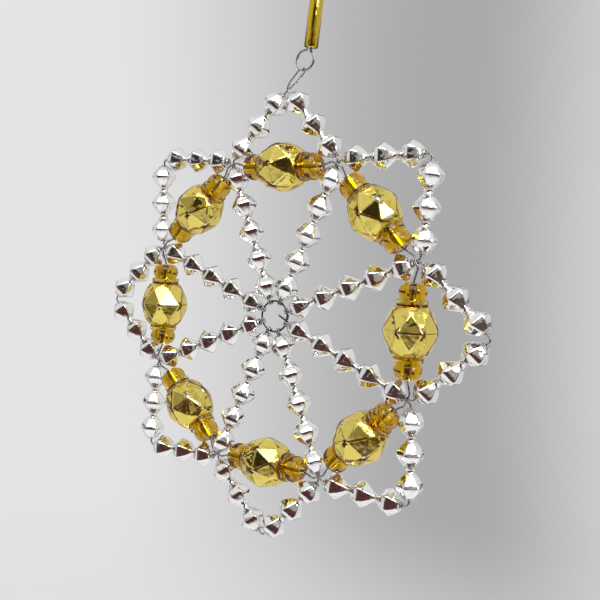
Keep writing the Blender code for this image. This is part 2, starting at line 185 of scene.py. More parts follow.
class RodSettings(bpy.types.PropertyGroup):
    """Silvered rods of faceted beads."""

    diameter: length("Bead diameter", "Across the ridges at a bead's middle", 5.12)
    hub_diameter: length("Hub bead diameter", "The same for the bead next to the hub", 4.75)
    bead: length("Bead length", "Length of one bead along the rod", 4.6)
    neck: length("Neck length", "Glass neck between two beads", 0.75)
    neck_diameter: length("Neck diameter", "Outside of the glass neck between two beads", 1.6)
    bore: length("Bore", "Diameter of the hole through the necks", 1.1)
    wall: length("Glass wall", "Thickness of the blown glass at a bead's ridges", 0.2)
    film: length("Silvering", "Thickness of the silvered film that lines the glass", 0.06)
    crease: length("Crease", "How far the crease round a bead's middle is rounded", 0.45)
    lip: length("Lip", "How far the rod's fire-polished ends are drawn in", 0.08)
    short: length("Bare end", "Length of neck at each end that has no silvering", 0.25)
    silver: colour("Silver", "The silvered film", (0.95, 0.95, 0.945))
    tarnish: colour("Tarnish", "The silvered film where it has dulled", (0.62, 0.56, 0.47))


class GoldSettings(bpy.types.PropertyGroup):
    """Large faceted gold beads on the ring wire."""

    facets: bpy.props.IntProperty(
        name="Corners", description="Corners in each row round the bead", default=7, min=3
    )
    diameter: length("Bead diameter", "Across the row of corners round the middle", 10.0)
    row_diameter: length("Row diameter", "Across the staggered rows of corners", 7.7)
    row_height: length("Row height", "From the middle to a staggered row", 3.1)
    end_diameter: length("End diameter", "Across the last row of corners", 6.0)
    body_end: length("Body end", "From the middle to the last row of corners", 4.299)
    cup_floor: length("Cup floor", "From the middle to the floor of a cup", 4.649)
    cup_rim: length("Cup rim", "From the middle to the rim of a cup", 5.249)
    cup_radius: length("Cup radius", "Inside of a cup", 2.27)
    bore: length("Bore", "Diameter of the hole for the ring wire", 1.6)
    wall: length("Glass wall", "Thickness of the blown glass", 0.38)
    cup_wall: length("Cup wall", "Thickness of the glass round a cup", 0.35)
    film: length("Silvering", "Thickness of the silvered film that lines the glass", 0.06)
    edge: length("Edge", "Rounding of the moulded edges", 0.44)
    inner_edge: length("Inner edge", "Rounding of the edges of the silvered film", 0.22)
    silver: colour("Silver", "The silvered film behind the amber glass", (0.97, 0.90, 0.6))
    tarnish: colour("Tarnish", "The silvered film where it has dulled", (0.72, 0.54, 0.22))
    amber: colour("Amber", "What the glass lets through", (0.92, 0.84, 0.03))
    depth: amount("Amber depth", "How strongly the glass is coloured, per metre", 2200.0, 10000.0)


class SeedSettings(bpy.types.PropertyGroup):
    """Amber seed beads beside the gold ones, with a silvered hole."""

    diameter: length("Bead diameter", "Across the belly", 4.9)
    width: length("Bead length", "Along the hole", 3.2)
    face: length("Face diameter", "Across the flat faces round the hole", 2.1)
    bore: length("Bore", "Diameter of the hole", 1.5)
    lip: length("Lip", "Rounding at the mouth of the hole", 0.12)
    film: length("Silvering", "Thickness of the silvered film that lines the hole", 0.05)
    amber: colour("Amber", "What the glass lets through", (0.946, 0.882, 0.0))
    depth: amount("Amber depth", "How strongly the glass is coloured, per metre", 2000.0, 10000.0)


class WireSettings(bpy.types.PropertyGroup):
    """Steel wires that carry the star."""

    diameter: length("Wire diameter", "Thickness of the star's wires", 0.35)
    gap: length("Strand gap", "Room between two strands side by side", 0.1)
    bend: length("Bend radius", "Radius of the bends", 0.7)
    hub: length("Hub radius", "Radius of the ring that the wires hook onto", 2.843)
    spoke_start: length("Spoke start", "From the hub to the inner end of a spoke", 3.518)
    corner: length("Corner radius", "From the hub to the corners", 30.834)
    crossing: length("Crossing radius", "From the hub to where the ring wire passes a corner", 30.064)
    tip: length("Tip radius", "From the hub to a petal's tip", 41.417)
    ring: length("Ring radius", "From the hub to the middle of a gold bead", 27.425)
    seed_end: length("Seed end", "From the middle of a gold bead to the far face of its seed bead", 8.149)
    ring_gap: length("Ring gap", "Room between the ends of the ring wire, inside a gold bead", 3.2)
    neck_clear: length("Neck clearance", "From a spoke's middle to the ring wire beside its neck", 1.122)
    eye_shift: length("Eye shift", "How far the star's eye stands to one side", 3.4)
    eye_rise: length("Eye rise", "How far the star's eye stands above the tip", 3.5)
    eye_width: length("Eye width", "Width of the star's eye", 1.7)
    lap: degrees("Hub lap", "How far the hub ring's ends overlap", 18)
    tail: length("Cut tail", "Length of the hub ring's end that stands into the hole", 1.5)
    steel: colour("Steel", "Bright drawn steel", (0.55, 0.54, 0.53))
    dull: colour("Dulled steel", "Steel in the draw marks", (0.2, 0.195, 0.19))
    # The hub ring's wire and its draw marks are painted near black: a painted reflection of the dark
    # surroundings it mirrors
    black: colour("Black wire", "Blackened wire of the hub ring", (0.07, 0.068, 0.066))
    painted_dark_marks: colour("Bare wire", "Blackened wire where it is rubbed", (0.16, 0.155, 0.15))


class HangerSettings(bpy.types.PropertyGroup):
    """Hanger wire with its hook, and the gold tube on its stem."""

    wire: length("Wire diameter", "Thickness of the hanger wire", 0.45)
    eye: length("Eye diameter", "Lower eye, at the middle of the wire", 3.6)
    mouth: length("Eye mouth", "Gap between the eye's end and the stem", 0.32)
    shift: length("Stem shift", "How far the stem stands beside the middle", 0.9)
    hook: length("Hook diameter", "Hook, at the middle of the wire", 7.0)
    hook_bend: length("Hook bend", "Radius of the bend below the hook", 1.5)
    slant: degrees("Hook slant", "Slant of the run below the hook", 45)
    reach: degrees("Hook reach", "How far round the hook goes", 185)
    tube: length("Tube diameter", "Outside of the glass tube", 2.5)
    bore: length("Tube bore", "Hole of the glass tube", 1.1)
    tube_length: length("Tube length", "Length of the glass tube", 15.0)
    film: length("Silvering", "Thickness of the silvered film that lines the tube", 0.05)
    lip: length("Lip", "Rounding of the tube's ends", 0.12)


class StageSettings(bpy.types.PropertyGroup):
    """Floor, light and camera."""

    floor: colour("Floor", "Plain pale floor", (0.84, 0.84, 0.845))
    sky_left: colour("Backdrop left", "Backdrop on the lit side", (0.79, 0.78, 0.79))
    sky_band: colour("Backdrop band", "Backdrop in its soft shaded band", (0.405, 0.40, 0.405))
    sky_right: colour("Backdrop right", "Backdrop beyond the band", (0.66, 0.655, 0.66))
    room: colour("Room", "Pale wall behind the camera", (0.64, 0.64, 0.64))
    screen: colour("Screen", "Dim screen behind the camera, which the facets mirror", (0.60, 0.57, 0.52))
    sides: colour("Sides", "Pale walls beside the star, out of the camera's view", (0.68, 0.68, 0.685))
    ceiling: colour("Ceiling", "Pale ceiling over the star", (0.75, 0.75, 0.745))
    flag: colour("Flag", "Red-brown card below the camera, which the facets mirror", (0.15, 0.04, 0.035))
    shade: colour("Shade", "Dark card beside the camera, which the facets mirror", (0.05, 0.032, 0.024))
    drab: colour("Drab", "Dull cards low on both sides, which the facets mirror", (0.17, 0.12, 0.08))
    floor_height: bpy.props.FloatProperty(
        name="Floor height", description="Height of the floor below the hook", default=-0.30, unit="LENGTH"
    )
    softbox: amount("Softbox", "Power of the light overhead", 1.3, 100.0, "POWER")
    window: amount("Window", "Power of the small soft window beside the camera", 0.8, 100.0, "POWER")
    lens: amount("Lens", "Focal length of the camera", 46.57, 500.0, "CAMERA")


class OrnamentSettings(bpy.types.PropertyGroup):
    """All the settings of the ornament."""

    rods: bpy.props.PointerProperty(name="Rods", description="Silvered rods", type=RodSettings)
    gold: bpy.props.PointerProperty(name="Gold", description="Gold beads", type=GoldSettings)
    seeds: bpy.props.PointerProperty(name="Seeds", description="Seed beads", type=SeedSettings)
    wires: bpy.props.PointerProperty(name="Wires", description="Star wires", type=WireSettings)
    hanger: bpy.props.PointerProperty(name="Hanger", description="Hanger", type=HangerSettings)
    stage: bpy.props.PointerProperty(name="Stage", description="Stage", type=StageSettings)


def settings():
    return bpy.context.scene.ornament


def joint_of(body):
    for joint in frame["joints"]:
        if joint["child"] == body:
            return joint
    raise RuntimeError(f"the frame has no joint for {body}")


def joint_place(body):
    return Vector(joint_of(body)["pos_m"])


def bead_matrix(body, roll=0.0):
    """Where a bead sits: its hole along its joint's axis, its Y axis straight back, then rolled."""
    axis = Vector(joint_of(body)["axis"])
    turn = Matrix((BACK.cross(axis), BACK, axis)).transposed().to_4x4()
    return Matrix.Translation(joint_place(body)) @ turn @ Matrix.Rotation(roll, 4, "Z")


def viewer_roll(body, viewer):
    """Roll of a rod that lays one of its flats towards the viewer."""
    side = BACK.cross(Vector(joint_of(body)["axis"]))
    return math.atan2(viewer.y, viewer.dot(side)) + math.pi / ROD_SIDES


def star_matrix():
    """Frame of the star: its hub at the origin, the top petal along +Z."""
    hub = sum((joint_place(f"spoke_rod_{spoke + 1}") for spoke in range(PETALS)), Vector()) / PETALS
    up = (joint_place("gold_bead_1") - hub).normalized()
    return Matrix.Translation(hub) @ Matrix((BACK.cross(up), BACK, up)).transposed().to_4x4()


def add_object(name, data):
    obj = bpy.data.objects.new(name, data)
    bpy.context.scene.collection.objects.link(obj)
    return obj


def add_piece(name, data, matrix, body, surface, node=None):
    """Links a piece, puts it in its place on its body, and lets it stand for its CAD node."""
    obj = add_object(name, data)
    obj.matrix_world = matrix
    if surface.name not in data.materials:
        data.materials.clear()
        data.materials.append(surface)
    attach(obj, body)
    if node:
        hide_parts(node)
    return obj


def ring_mesh(name, rings):
    """A closed skin through rings of points: down the outside, then up the inside, back to the first."""
    count = len(rings[0])
    points = [point for ring in rings for point in ring]
    faces = []
    for row in range(len(rings)):
        start = row * count
        after = (row + 1) % len(rings) * count
        for place in range(count):
            beside = (place + 1) % count
            faces.append((start + place, after + place, after + beside, start + beside))
    mesh = bpy.data.meshes.new(name)
    mesh.from_pydata(points, [], faces)
    mesh.shade_smooth()
    mesh.validate()
    return mesh


def circle(radius, height, sides):
    points = []
    for side in range(sides):
        angle = 2 * math.pi * side / sides
        points.append((radius * math.cos(angle), radius * math.sin(angle), height))
    return points


def lathe_mesh(name, outline, sides):
    """A round closed piece from its half section: down the outside, then up the inside."""
    return ring_mesh(name, [circle(radius, height, sides) for radius, height in outline])


def facet_radius(angle, sides, sharpness):
    """Radius of a soft-edged polygon of corner radius one, with a corner at angle zero."""
    total = 0.0
    for side in range(sides):
        reach = math.cos(angle - (side + 0.5) * 2 * math.pi / sides)
        if reach > 0:
            total += reach ** sharpness
    return math.cos(math.pi / sides) * total ** (-1 / sharpness)


def rod_bead(rods, beads, height):
    """The bead nearest to a height of the rod, and the share of the way from its neck to its middle."""
    pitch = rods.bead + rods.neck
    middle = (beads - 1) / 2
    nearest = min(max(round(middle - height / pitch), 0), beads - 1)
    return nearest, max(0.0, 1 - abs(height - (middle - nearest) * pitch) / (rods.bead / 2))


def rod_ring(radius, height, faceted, sharpness):
    """One ring of a rod's skin, between round and six-sided."""
    points = []
    for facet in range(ROD_SIDES):
        for place in RIDGE_PLACES:
            angle = (facet + place) * 2 * math.pi / ROD_SIDES
            reach = radius * (1 + faceted * (facet_radius(angle, ROD_SIDES, sharpness) - 1))
            points.append((reach * math.cos(angle), reach * math.sin(angle), height))
    return points


def belly_radius(rods, beads, bead):
    """Half the diameter of a bead: the last one of a spoke, next to the hub, is smaller."""
    return (rods.hub_diameter if beads > PETAL_BEADS and bead == beads - 1 else rods.diameter) / 2


def glass_ring(rods, beads, height, lip=0.0):
    """A ring of the moulded outside: gently swelling beads with a crease round the middle."""
    bead, share = rod_bead(rods, beads, height)
    neck = rods.neck_diameter / 2
    belly = belly_radius(rods, beads, bead)
    radius = neck + (belly - neck) * (share + BELLY_ROUNDNESS * share * (1 - share))
    from_crease = (1 - share) * rods.bead / 2
    slope = (1 - BELLY_ROUNDNESS) * (belly - neck) / (rods.bead / 2)
    radius -= slope * rods.crease / 2 * max(0.0, 1 - from_crease / rods.crease) ** 2
    part = min(1.0, share / NECK_ROUND_SHARE)
    return rod_ring(radius - lip, height, part * part * (3 - 2 * part), GLASS_SHARPNESS)


def film_ring(rods, beads, height, inset):
    """A ring of the blown inside, rounder than the outside, moved in by an inset."""
    bead, share = rod_bead(rods, beads, height)
    neck = rods.bore / 2
    belly = belly_radius(rods, beads, bead) - rods.wall
    radius = neck + (belly - neck) * (1 - (1 - share) ** FILM_ROUNDNESS)
    return rod_ring(radius - inset, height, min(1.0, share / NECK_ROUND_SHARE), FILM_SHARPNESS)


def rod_heights(rods, beads, end):
    """Heights of a rod's rings from its top end to its bottom end."""
    pitch = rods.bead + rods.neck
    heights = [end]
    for bead in range(beads):
        middle = ((beads - 1) / 2 - bead) * pitch
        upper = [middle + (1 - share) * rods.bead / 2 for share in BELLY_ROWS]
        lower = [2 * middle - height for height in reversed(upper)]
        heights += [height for height in upper + [middle] + lower if abs(height) < end]
    return heights + [-end]


def rod_end(rods, beads):
    return (beads * rods.bead + (beads - 1) * rods.neck) / 2


def rod_glass_mesh(name, rods, beads):
    end = rod_end(rods, beads)
    outside = [glass_ring(rods, beads, end, rods.lip)]
    for height in rod_heights(rods, beads, end - rods.lip / 2):
        outside.append(glass_ring(rods, beads, height))
    outside.append(glass_ring(rods, beads, -end, rods.lip))
    inside = [film_ring(rods, beads, height, 0) for height in rod_heights(rods, beads, end)]
    return ring_mesh(name, outside + inside[::-1])


def rod_film_mesh(name, rods, beads):
    heights = rod_heights(rods, beads, rod_end(rods, beads) - rods.short)
    outside = [film_ring(rods, beads, height, -rods.film / 2) for height in heights]
    inside = [film_ring(rods, beads, height, rods.film / 2) for height in heights]
    return ring_mesh(name, outside + inside[::-1])


def gold_row(gold, radius, height, turn):
    points = []
    for facet in range(gold.facets):
        angle = 2 * math.pi * facet / gold.facets + turn
        points.append(Vector((radius * math.cos(angle), radius * math.sin(angle), height)))
    return points


def faceted_ball(name, gold, inset, edge):
    """Bands of triangular facets between staggered rows of corners, with rounded edges."""
    stagger = math.pi / gold.facets
    points = gold_row(gold, gold.diameter / 2 - inset, 0, 0)
    for side in (-1, 1):
        points += gold_row(gold, gold.row_diameter / 2 - inset, gold.row_height * side, stagger)
        points += gold_row(gold, gold.end_diameter / 2 - inset, (gold.body_end - inset) * side, 0)
    shape = bmesh.new()
    for point in points:
        shape.verts.new(point)
    bmesh.ops.convex_hull(shape, input=shape.verts)
    bmesh.ops.dissolve_limit(shape, angle_limit=FLAT_ANGLE, verts=shape.verts, edges=shape.edges)
    bmesh.ops.bevel(
        shape, geom=shape.edges, offset=edge, offset_type="OFFSET", segments=EDGE_STEPS, profile=0.5,
        affect="EDGES", clamp_overlap=True,
    )
    return shape_object(name, shape)


def shape_object(name, shape):
    mesh = bpy.data.meshes.new(name)
    shape.to_mesh(mesh)
    shape.free()
    return add_object(name, mesh)


def round_bar(name, radius, bottom, top, edge=0.0):
    """A round bar along Z, with its two rims rounded where an edge is given."""
    shape = bmesh.new()
    bmesh.ops.create_cone(
        shape, cap_ends=True, segments=BAR_SIDES, radius1=radius, radius2=radius, depth=top - bottom
    )
    bmesh.ops.translate(shape, verts=shape.verts, vec=(0, 0, (top + bottom) / 2))
    if edge:
        rims = [line for line in shape.edges if abs(line.verts[0].co.z - line.verts[1].co.z) < edge]
        bmesh.ops.bevel(shape, geom=rims, offset=edge, segments=EDGE_STEPS, profile=0.5, affect="EDGES")
    return shape_object(name, shape)


def cut_mesh(name, body, steps):
    """The body after each Boolean step, as one mesh; the body and the cutters are taken away."""
    for obj, operation in steps:
        boolean = body.modifiers.new(obj.name, "BOOLEAN")
        boolean.operation = operation
        boolean.object = obj
    bpy.context.view_layer.update()
    graph = bpy.context.evaluated_depsgraph_get()
    mesh = bpy.data.meshes.new_from_object(body.evaluated_get(graph))
    mesh.name = name
    if not mesh.polygons:
        raise RuntimeError(f"the Booleans left nothing of {name}")
    for obj in [body] + [obj for obj, _ in steps]:
        bpy.data.objects.remove(obj, do_unlink=True)
    mesh.shade_smooth()
    mesh.set_sharp_from_angle(angle=SHARP_ANGLE)
    return mesh


def gold_glass_mesh(gold):
    beyond = 2 * gold.cup_rim
    cup = gold.cup_radius
    steps = [
        (round_bar("collar", cup + gold.cup_wall, -gold.cup_rim, gold.cup_rim, gold.cup_wall / 3), "UNION"),
        (faceted_ball("hollow", gold, gold.wall, gold.inner_edge), "DIFFERENCE"),
        (round_bar("cup_low", cup, -beyond, -gold.cup_floor), "DIFFERENCE"),
        (round_bar("cup_high", cup, gold.cup_floor, beyond), "DIFFERENCE"),
        (round_bar("bore", gold.bore / 2, -beyond, beyond), "DIFFERENCE"),
    ]
    return cut_mesh("gold_bead_glass", faceted_ball("ball", gold, 0, gold.edge), steps)


def gold_lining_mesh(gold):
    outer = gold.wall - gold.film / 2
    inner = gold.wall + gold.film / 2
    steps = [
        (faceted_ball("hollow", gold, inner, gold.inner_edge), "DIFFERENCE"),
        (round_bar("bore", gold.bore / 2 + gold.film, -gold.cup_rim, gold.cup_rim), "DIFFERENCE"),
    ]
    return cut_mesh("gold_bead_lining", faceted_ball("ball", gold, outer, gold.inner_edge), steps)


def keep_facets_flat(obj):
    """Weighted normals, so that the broad facets stay flat between their rounded edges."""
    weighted = obj.modifiers.new("flat facets", "WEIGHTED_NORMAL")
    weighted.mode = "FACE_AREA"
    weighted.weight = FACET_WEIGHT
    weighted.keep_sharp = True


def seed_mesh(seeds):
    """A round barrel with flat faces and a wide hole whose mouths are rounded."""
    half = seeds.width / 2
    face = seeds.face / 2
    bulge = seeds.diameter / 2 - face
    bore = seeds.bore / 2
    lip = seeds.lip
    outline = []
    for row in range(SEED_ROWS + 1):
        turn = math.pi * row / SEED_ROWS
        outline.append((face + bulge * math.sin(turn), half * math.cos(turn)))
    mouth = [(bore + lip, half), (bore + lip / 3, half - lip / 3), (bore, half - lip)]
    low = [(radius, -height) for radius, height in mouth]
    return lathe_mesh("seed_bead_glass", outline + low + mouth[::-1], SEED_SIDES)


def tube_mesh(name, radius, bore, half, lip):
    """A round tube with rounded ends, from its two radii and half its length."""
    mouth = [(radius, half - lip), (radius - lip / 3, half - lip / 3), (radius - lip, half)]
    hole = [(bore + lip / 2, half), (bore, half - lip / 2)]
    upper = hole[::-1] + mouth[::-1]
    lower = [(place, -height) for place, height in reversed(upper)]
    return lathe_mesh(name, upper + lower, TUBE_SIDES)


def lining_mesh(name, bore, half, film):
    """A thin film of silvering on a round hole."""
    return tube_mesh(name, bore + film / 2, bore - film / 2, half, film / 4)


def rounded(corners, radius, steps):
    """The corner points with each inner corner replaced by an arc, as a bent wire has it."""
    path = [corners[0]]
    for before, corner, after in zip(corners, corners[1:], corners[2:]):
        back = before - corner
        ahead = after - corner
        opening = back.angle(ahead)
        tangent = min(radius / math.tan(opening / 2), BEND_SHARE * min(back.length, ahead.length))
        arc_radius = tangent * math.tan(opening / 2)
        bisector = (back.normalized() + ahead.normalized()).normalized()
        centre = corner + bisector * arc_radius / math.sin(opening / 2)
        start = corner + back.normalized() * tangent - centre
        end = corner + ahead.normalized() * tangent - centre
        for step in range(steps + 1):
            path.append(centre + start.normalized().slerp(end.normalized(), step / steps) * start.length)
    return path + [corners[-1]]


def wire_curve(name, points, diameter):
    curve = bpy.data.curves.new(name, "CURVE")
    curve.dimensions = "3D"
    curve.bevel_depth = diameter / 2
    curve.bevel_resolution = 3
    curve.use_fill_caps = True
    spline = curve.splines.new("POLY")
    spline.points.add(len(points) - 1)
    for knot, point in zip(spline.points, points):
        knot.co = (*point, 1)
    return curve


def outward(angle):
    """Unit vector from the hub at this angle, clockwise from the top as seen from the front."""
    return Vector((math.sin(angle), 0, math.cos(angle)))


def sideways(angle):
    return Vector((math.cos(angle), 0, -math.sin(angle)))


def spoke_point(spoke, radius, aside, depth=0.0):
    """A point beside a spoke: aside is positive towards the next petal clockwise."""
    angle = STEP * spoke - HALF
    return outward(angle) * radius + sideways(angle) * aside + BACK * depth


def petal_half(wires, spoke, side, tip):
    """Corners of half a petal wire: over the hub ring, along a spoke, round its corner to the tip."""
    step = wires.diameter + wires.gap
    aside = step / 2 * side
    hook = wires.diameter * HOOK_SIZE
    return [
        spoke_point(spoke, wires.hub + hook * HOOK_TAIL_OUT, aside, hook * HOOK_TAIL_BACK),
        spoke_point(spoke, wires.hub - hook, aside, hook),
        spoke_point(spoke, wires.hub - hook, aside, -hook),
        spoke_point(spoke, wires.hub + hook * HOOK_FRONT_OUT, aside, -hook),
        spoke_point(spoke, wires.spoke_start + step, aside),
        spoke_point(spoke, wires.corner, aside),
        tip,
    ]


def petal_wire_path(wires, petal):
    tip = outward(STEP * petal) * wires.tip
    left = petal_half(wires, petal, 1, tip)
    right = petal_half(wires, petal + 1, -1, tip)
    return rounded(left + right[-2::-1], wires.bend, BEND_STEPS)


def eye_wire_path(wires):
    """The top petal's wire: its halves pass each other at the tip and rise as a narrow eye, edge on."""
    tip = outward(0) * wires.tip
    top = tip + Vector((wires.eye_shift, 0, wires.eye_rise))
    slant = (top - tip).normalized()
    width = BACK * wires.eye_width / 2
    pass_by = BACK * (wires.diameter + wires.gap) * PASS_SHARE
    leg = tip + slant * wires.eye_width
    centre = top - slant * wires.eye_width / 2
    arch = []
    for step in range(EYE_STEPS + 1):
        angle = math.pi * step / EYE_STEPS
        arch.append(centre + width * math.cos(angle) + slant * wires.eye_width / 2 * math.sin(angle))
    left = petal_half(wires, 0, 1, tip + pass_by) + [leg + width, arch[0]]
    right = petal_half(wires, 1, -1, tip - pass_by) + [leg - width, arch[-1]]
    rising = rounded(left, wires.bend, BEND_STEPS)
    falling = rounded(right, wires.bend, BEND_STEPS)[::-1]
    return rising + arch[1:-1] + falling


def ring_wire_path(wires):
    """Through every gold and seed bead, and in front of each corner; both ends lie in one gold bead."""
    front = -(wires.diameter + 2 * wires.gap)
    end = outward(0) * wires.ring
    corners = [end + sideways(0) * wires.ring_gap / 2]
    for spoke in range(1, PETALS + 1):
        before = STEP * (spoke - 1)
        after = STEP * spoke
        corners.append(outward(before) * wires.ring + sideways(before) * wires.seed_end)
        corners.append(spoke_point(spoke, wires.crossing, -wires.neck_clear, front / 2))
        corners.append(spoke_point(spoke, wires.crossing, 0, front))
        corners.append(spoke_point(spoke, wires.crossing, wires.neck_clear, front / 2))
        corners.append(outward(after) * wires.ring - sideways(after) * wires.seed_end)
    corners.append(end - sideways(0) * wires.ring_gap / 2)
    return rounded(corners, wires.bend, RING_BEND_STEPS)


def hub_ring_path(wires):
    """One turn and a lap round the hub; one end lies behind the other, which turns in as a cut tail."""
    turn = 2 * math.pi + wires.lap
    cut = math.pi / 2
    points = []
    for step in range(HUB_STEPS + 1):
        done = turn * step / HUB_STEPS
        from_end = min(done, turn - done)
        lift = (wires.diameter + wires.gap) * PASS_SHARE * max(0.0, 1 - from_end / wires.lap)
        depth = lift if done < turn / 2 else -lift
        points.append(outward(cut - wires.lap / 2 + done) * wires.hub + BACK * depth)
    last = cut + wires.lap / 2
    points.append(points[-1] - outward(last) * wires.diameter)
    points.append(points[-1] - outward(last + TAIL_LEAN) * wires.tail)
    return points


def arc(centre, radius, start, end, steps):
    """Points on a circle in the XZ plane, angles from +X towards +Z."""
    points = []
    for step in range(steps + 1):
        angle = start + (end - start) * step / steps
        points.append(centre + Vector((radius * math.cos(angle), 0, radius * math.sin(angle))))
    return points


def hanger_path(hanger):
    """Round eye at the bottom, straight stem, and an open hook at the top."""
    eye_radius = hanger.eye / 2
    eye_centre = Vector((0, 0, joint_place("star").z + eye_radius))
    stem_angle = math.acos(hanger.shift / eye_radius)
    mouth = (hanger.wire + hanger.mouth) / eye_radius
    eye = arc(eye_centre, eye_radius, stem_angle + mouth, stem_angle + 2 * math.pi, HANGER_STEPS)
    hook_radius = hanger.hook / 2
    hook_centre = Vector((0, 0, hanger.wire / 2 - hook_radius))
    run_reach = hook_radius * math.cos(hanger.slant) - hanger.shift
    run_reach -= hanger.hook_bend * (1 - math.cos(hanger.slant))
    height = hook_centre.z - hook_radius * math.sin(hanger.slant) - run_reach / math.tan(hanger.slant)
    height -= hanger.hook_bend * math.sin(hanger.slant)
    bend_centre = Vector((hanger.shift + hanger.hook_bend, 0, height))
    bend = arc(bend_centre, hanger.hook_bend, math.pi, math.pi - hanger.slant, HOOK_BEND_STEPS)
    return eye + bend + arc(hook_centre, hook_radius, -hanger.slant, hanger.reach, HANGER_STEPS)


def new_group(name, inputs, output):
    """An empty shader node group with number inputs and one number output, and its two end nodes."""
    group = bpy.data.node_groups.new(name, "ShaderNodeTree")
    for label, value in inputs:
        socket = group.interface.new_socket(label, in_out="INPUT", socket_type="NodeSocketFloat")
        socket.default_value = value
    group.interface.new_socket(output, in_out="OUTPUT", socket_type="NodeSocketFloat")
    return group, group.nodes.new("NodeGroupInput"), group.nodes.new("NodeGroupOutput")


def add_node(tree, kind, values=None, **options):
    """A node with its options set and its inputs joined to sockets or set to plain values."""
    node = tree.nodes.new(kind)
    for option, value in options.items():
        setattr(node, option, value)
    for label, value in (values or {}).items():
        if isinstance(value, bpy.types.NodeSocket):
            tree.links.new(value, node.inputs[label])
        else:
            node.inputs[label].default_value = value
    return node


def bead_coordinates(tree):
    """Object coordinates moved by a random step for each piece, so that no two pieces look the same."""
    place = add_node(tree, "ShaderNodeTexCoord").outputs["Object"]
    chance = add_node(tree, "ShaderNodeObjectInfo").outputs["Random"]
    moved = add_node(tree, "ShaderNodeVectorMath", {0: place}, operation="ADD")
    tree.links.new(chance, moved.inputs[1])
    return moved.outputs["Vector"]


def number(tree, operation, first, second):
    return add_node(tree, "ShaderNodeMath", {0: first, 1: second}, operation=operation).outputs["Value"]


def ripple_group():
    """Soft waves of blown glass, as a height."""
    group, ends, out = new_group("blown_glass_ripple", [("Scale", 300.0)], "Height")
    place = bead_coordinates(group)
    noise = add_node(
        group, "ShaderNodeTexNoise",
        {"Vector": place, "Scale": ends.outputs["Scale"], "Detail": 1.5, "Roughness": 0.4},
    )
    group.links.new(noise.outputs["Fac"], out.inputs["Height"])
    return group


def wear_group():
    """Where the silvering has dulled, as a mask."""
    inputs = [("Scale", 500.0), ("Start", 0.55), ("End", 0.8)]
    group, ends, out = new_group("silvering_wear", inputs, "Mask")
    place = bead_coordinates(group)
    clouds = add_node(
        group, "ShaderNodeTexNoise",
        {"Vector": place, "Scale": ends.outputs["Scale"], "Detail": 5.0, "Roughness": 0.62},
    )
    mask = add_node(
        group, "ShaderNodeMapRange",
        {
            "Value": clouds.outputs["Fac"],
            "From Min": ends.outputs["Start"],
            "From Max": ends.outputs["End"],
        },
        interpolation_type="SMOOTHSTEP",
    )
    group.links.new(mask.outputs["Result"], out.inputs["Mask"])
    return group


def film_group():
    """A thin uneven film from handling, as a roughness between two values."""
    inputs = [("Scale", 350.0), ("Clean", 0.0), ("Smeared", 0.1)]
    group, ends, out = new_group("handling_film", inputs, "Roughness")
    place = bead_coordinates(group)
    smears = add_node(
        group, "ShaderNodeTexNoise",
        {"Vector": place, "Scale": ends.outputs["Scale"], "Detail": 4.0, "Distortion": 0.6},
    )
    spread = number(group, "POWER", smears.outputs["Fac"], 3.0)
    rough = add_node(
        group, "ShaderNodeMapRange",
        {
            "Value": spread,
            "From Min": 0.02,
            "From Max": 0.35,
            "To Min": ends.outputs["Clean"],
            "To Max": ends.outputs["Smeared"],
        },
    )
    group.links.new(rough.outputs["Result"], out.inputs["Roughness"])
    return group


GROUP_MAKERS = {
    "blown_glass_ripple": ripple_group,
    "silvering_wear": wear_group,
    "handling_film": film_group,
}


def group_node(tree, name, values):
    """One of the shared effects, made when it is first used."""
    group = bpy.data.node_groups.get(name) or GROUP_MAKERS[name]()
    return add_node(tree, "ShaderNodeGroup", values, node_tree=group)


def new_material(name):
    made = bpy.data.materials.new(name)
    made.use_nodes = True
    return made, made.node_tree, made.node_tree.nodes["Principled BSDF"]


def add_bump(tree, shader, height, strength, distance):
    """A height that the shader shows as bumps."""
    values = {"Height": height, "Strength": strength, "Distance": distance}
    bump = add_node(tree, "ShaderNodeBump", values)
    tree.links.new(bump.outputs["Normal"], shader.inputs["Normal"])


def add_ripple(tree, shader, scale, strength, distance):
    ripple = group_node(tree, "blown_glass_ripple", {"Scale": scale})
    add_bump(tree, shader, ripple.outputs["Height"], strength, distance)


def blend(tree, mask, first, second):
    """Two colours mixed by a mask; either may be a socket or a plain colour."""
    mix = add_node(tree, "ShaderNodeMix", data_type="RGBA")
    tree.links.new(mask, mix.inputs["Factor"])
    for socket, value in zip([socket for socket in mix.inputs if socket.type == "RGBA"], (first, second)):
        if isinstance(value, bpy.types.NodeSocket):
            tree.links.new(value, socket)
        else:
            socket.default_value = (*value, 1)
    return next(socket for socket in mix.outputs if socket.type == "RGBA")


def silvering(name, silver, tarnish):
    """A mirror film inside the glass, dulled in small cloudy patches."""
    made, tree, shader = new_material(name)
    shader.inputs["Metallic"].default_value = 1.0
    wear = group_node(tree, "silvering_wear", {"Scale": 420.0, "Start": 0.56, "End": 0.82})
    tree.links.new(blend(tree, wear.outputs["Mask"], silver, tarnish), shader.inputs["Base Color"])
    rough = add_node(
        tree, "ShaderNodeMapRange", {"Value": wear.outputs["Mask"], "To Min": 0.035, "To Max": 0.3}
    )
    tree.links.new(rough.outputs["Result"], shader.inputs["Roughness"])
    add_ripple(tree, shader, scale=800.0, strength=0.3, distance=0.2 * MM)
    return made


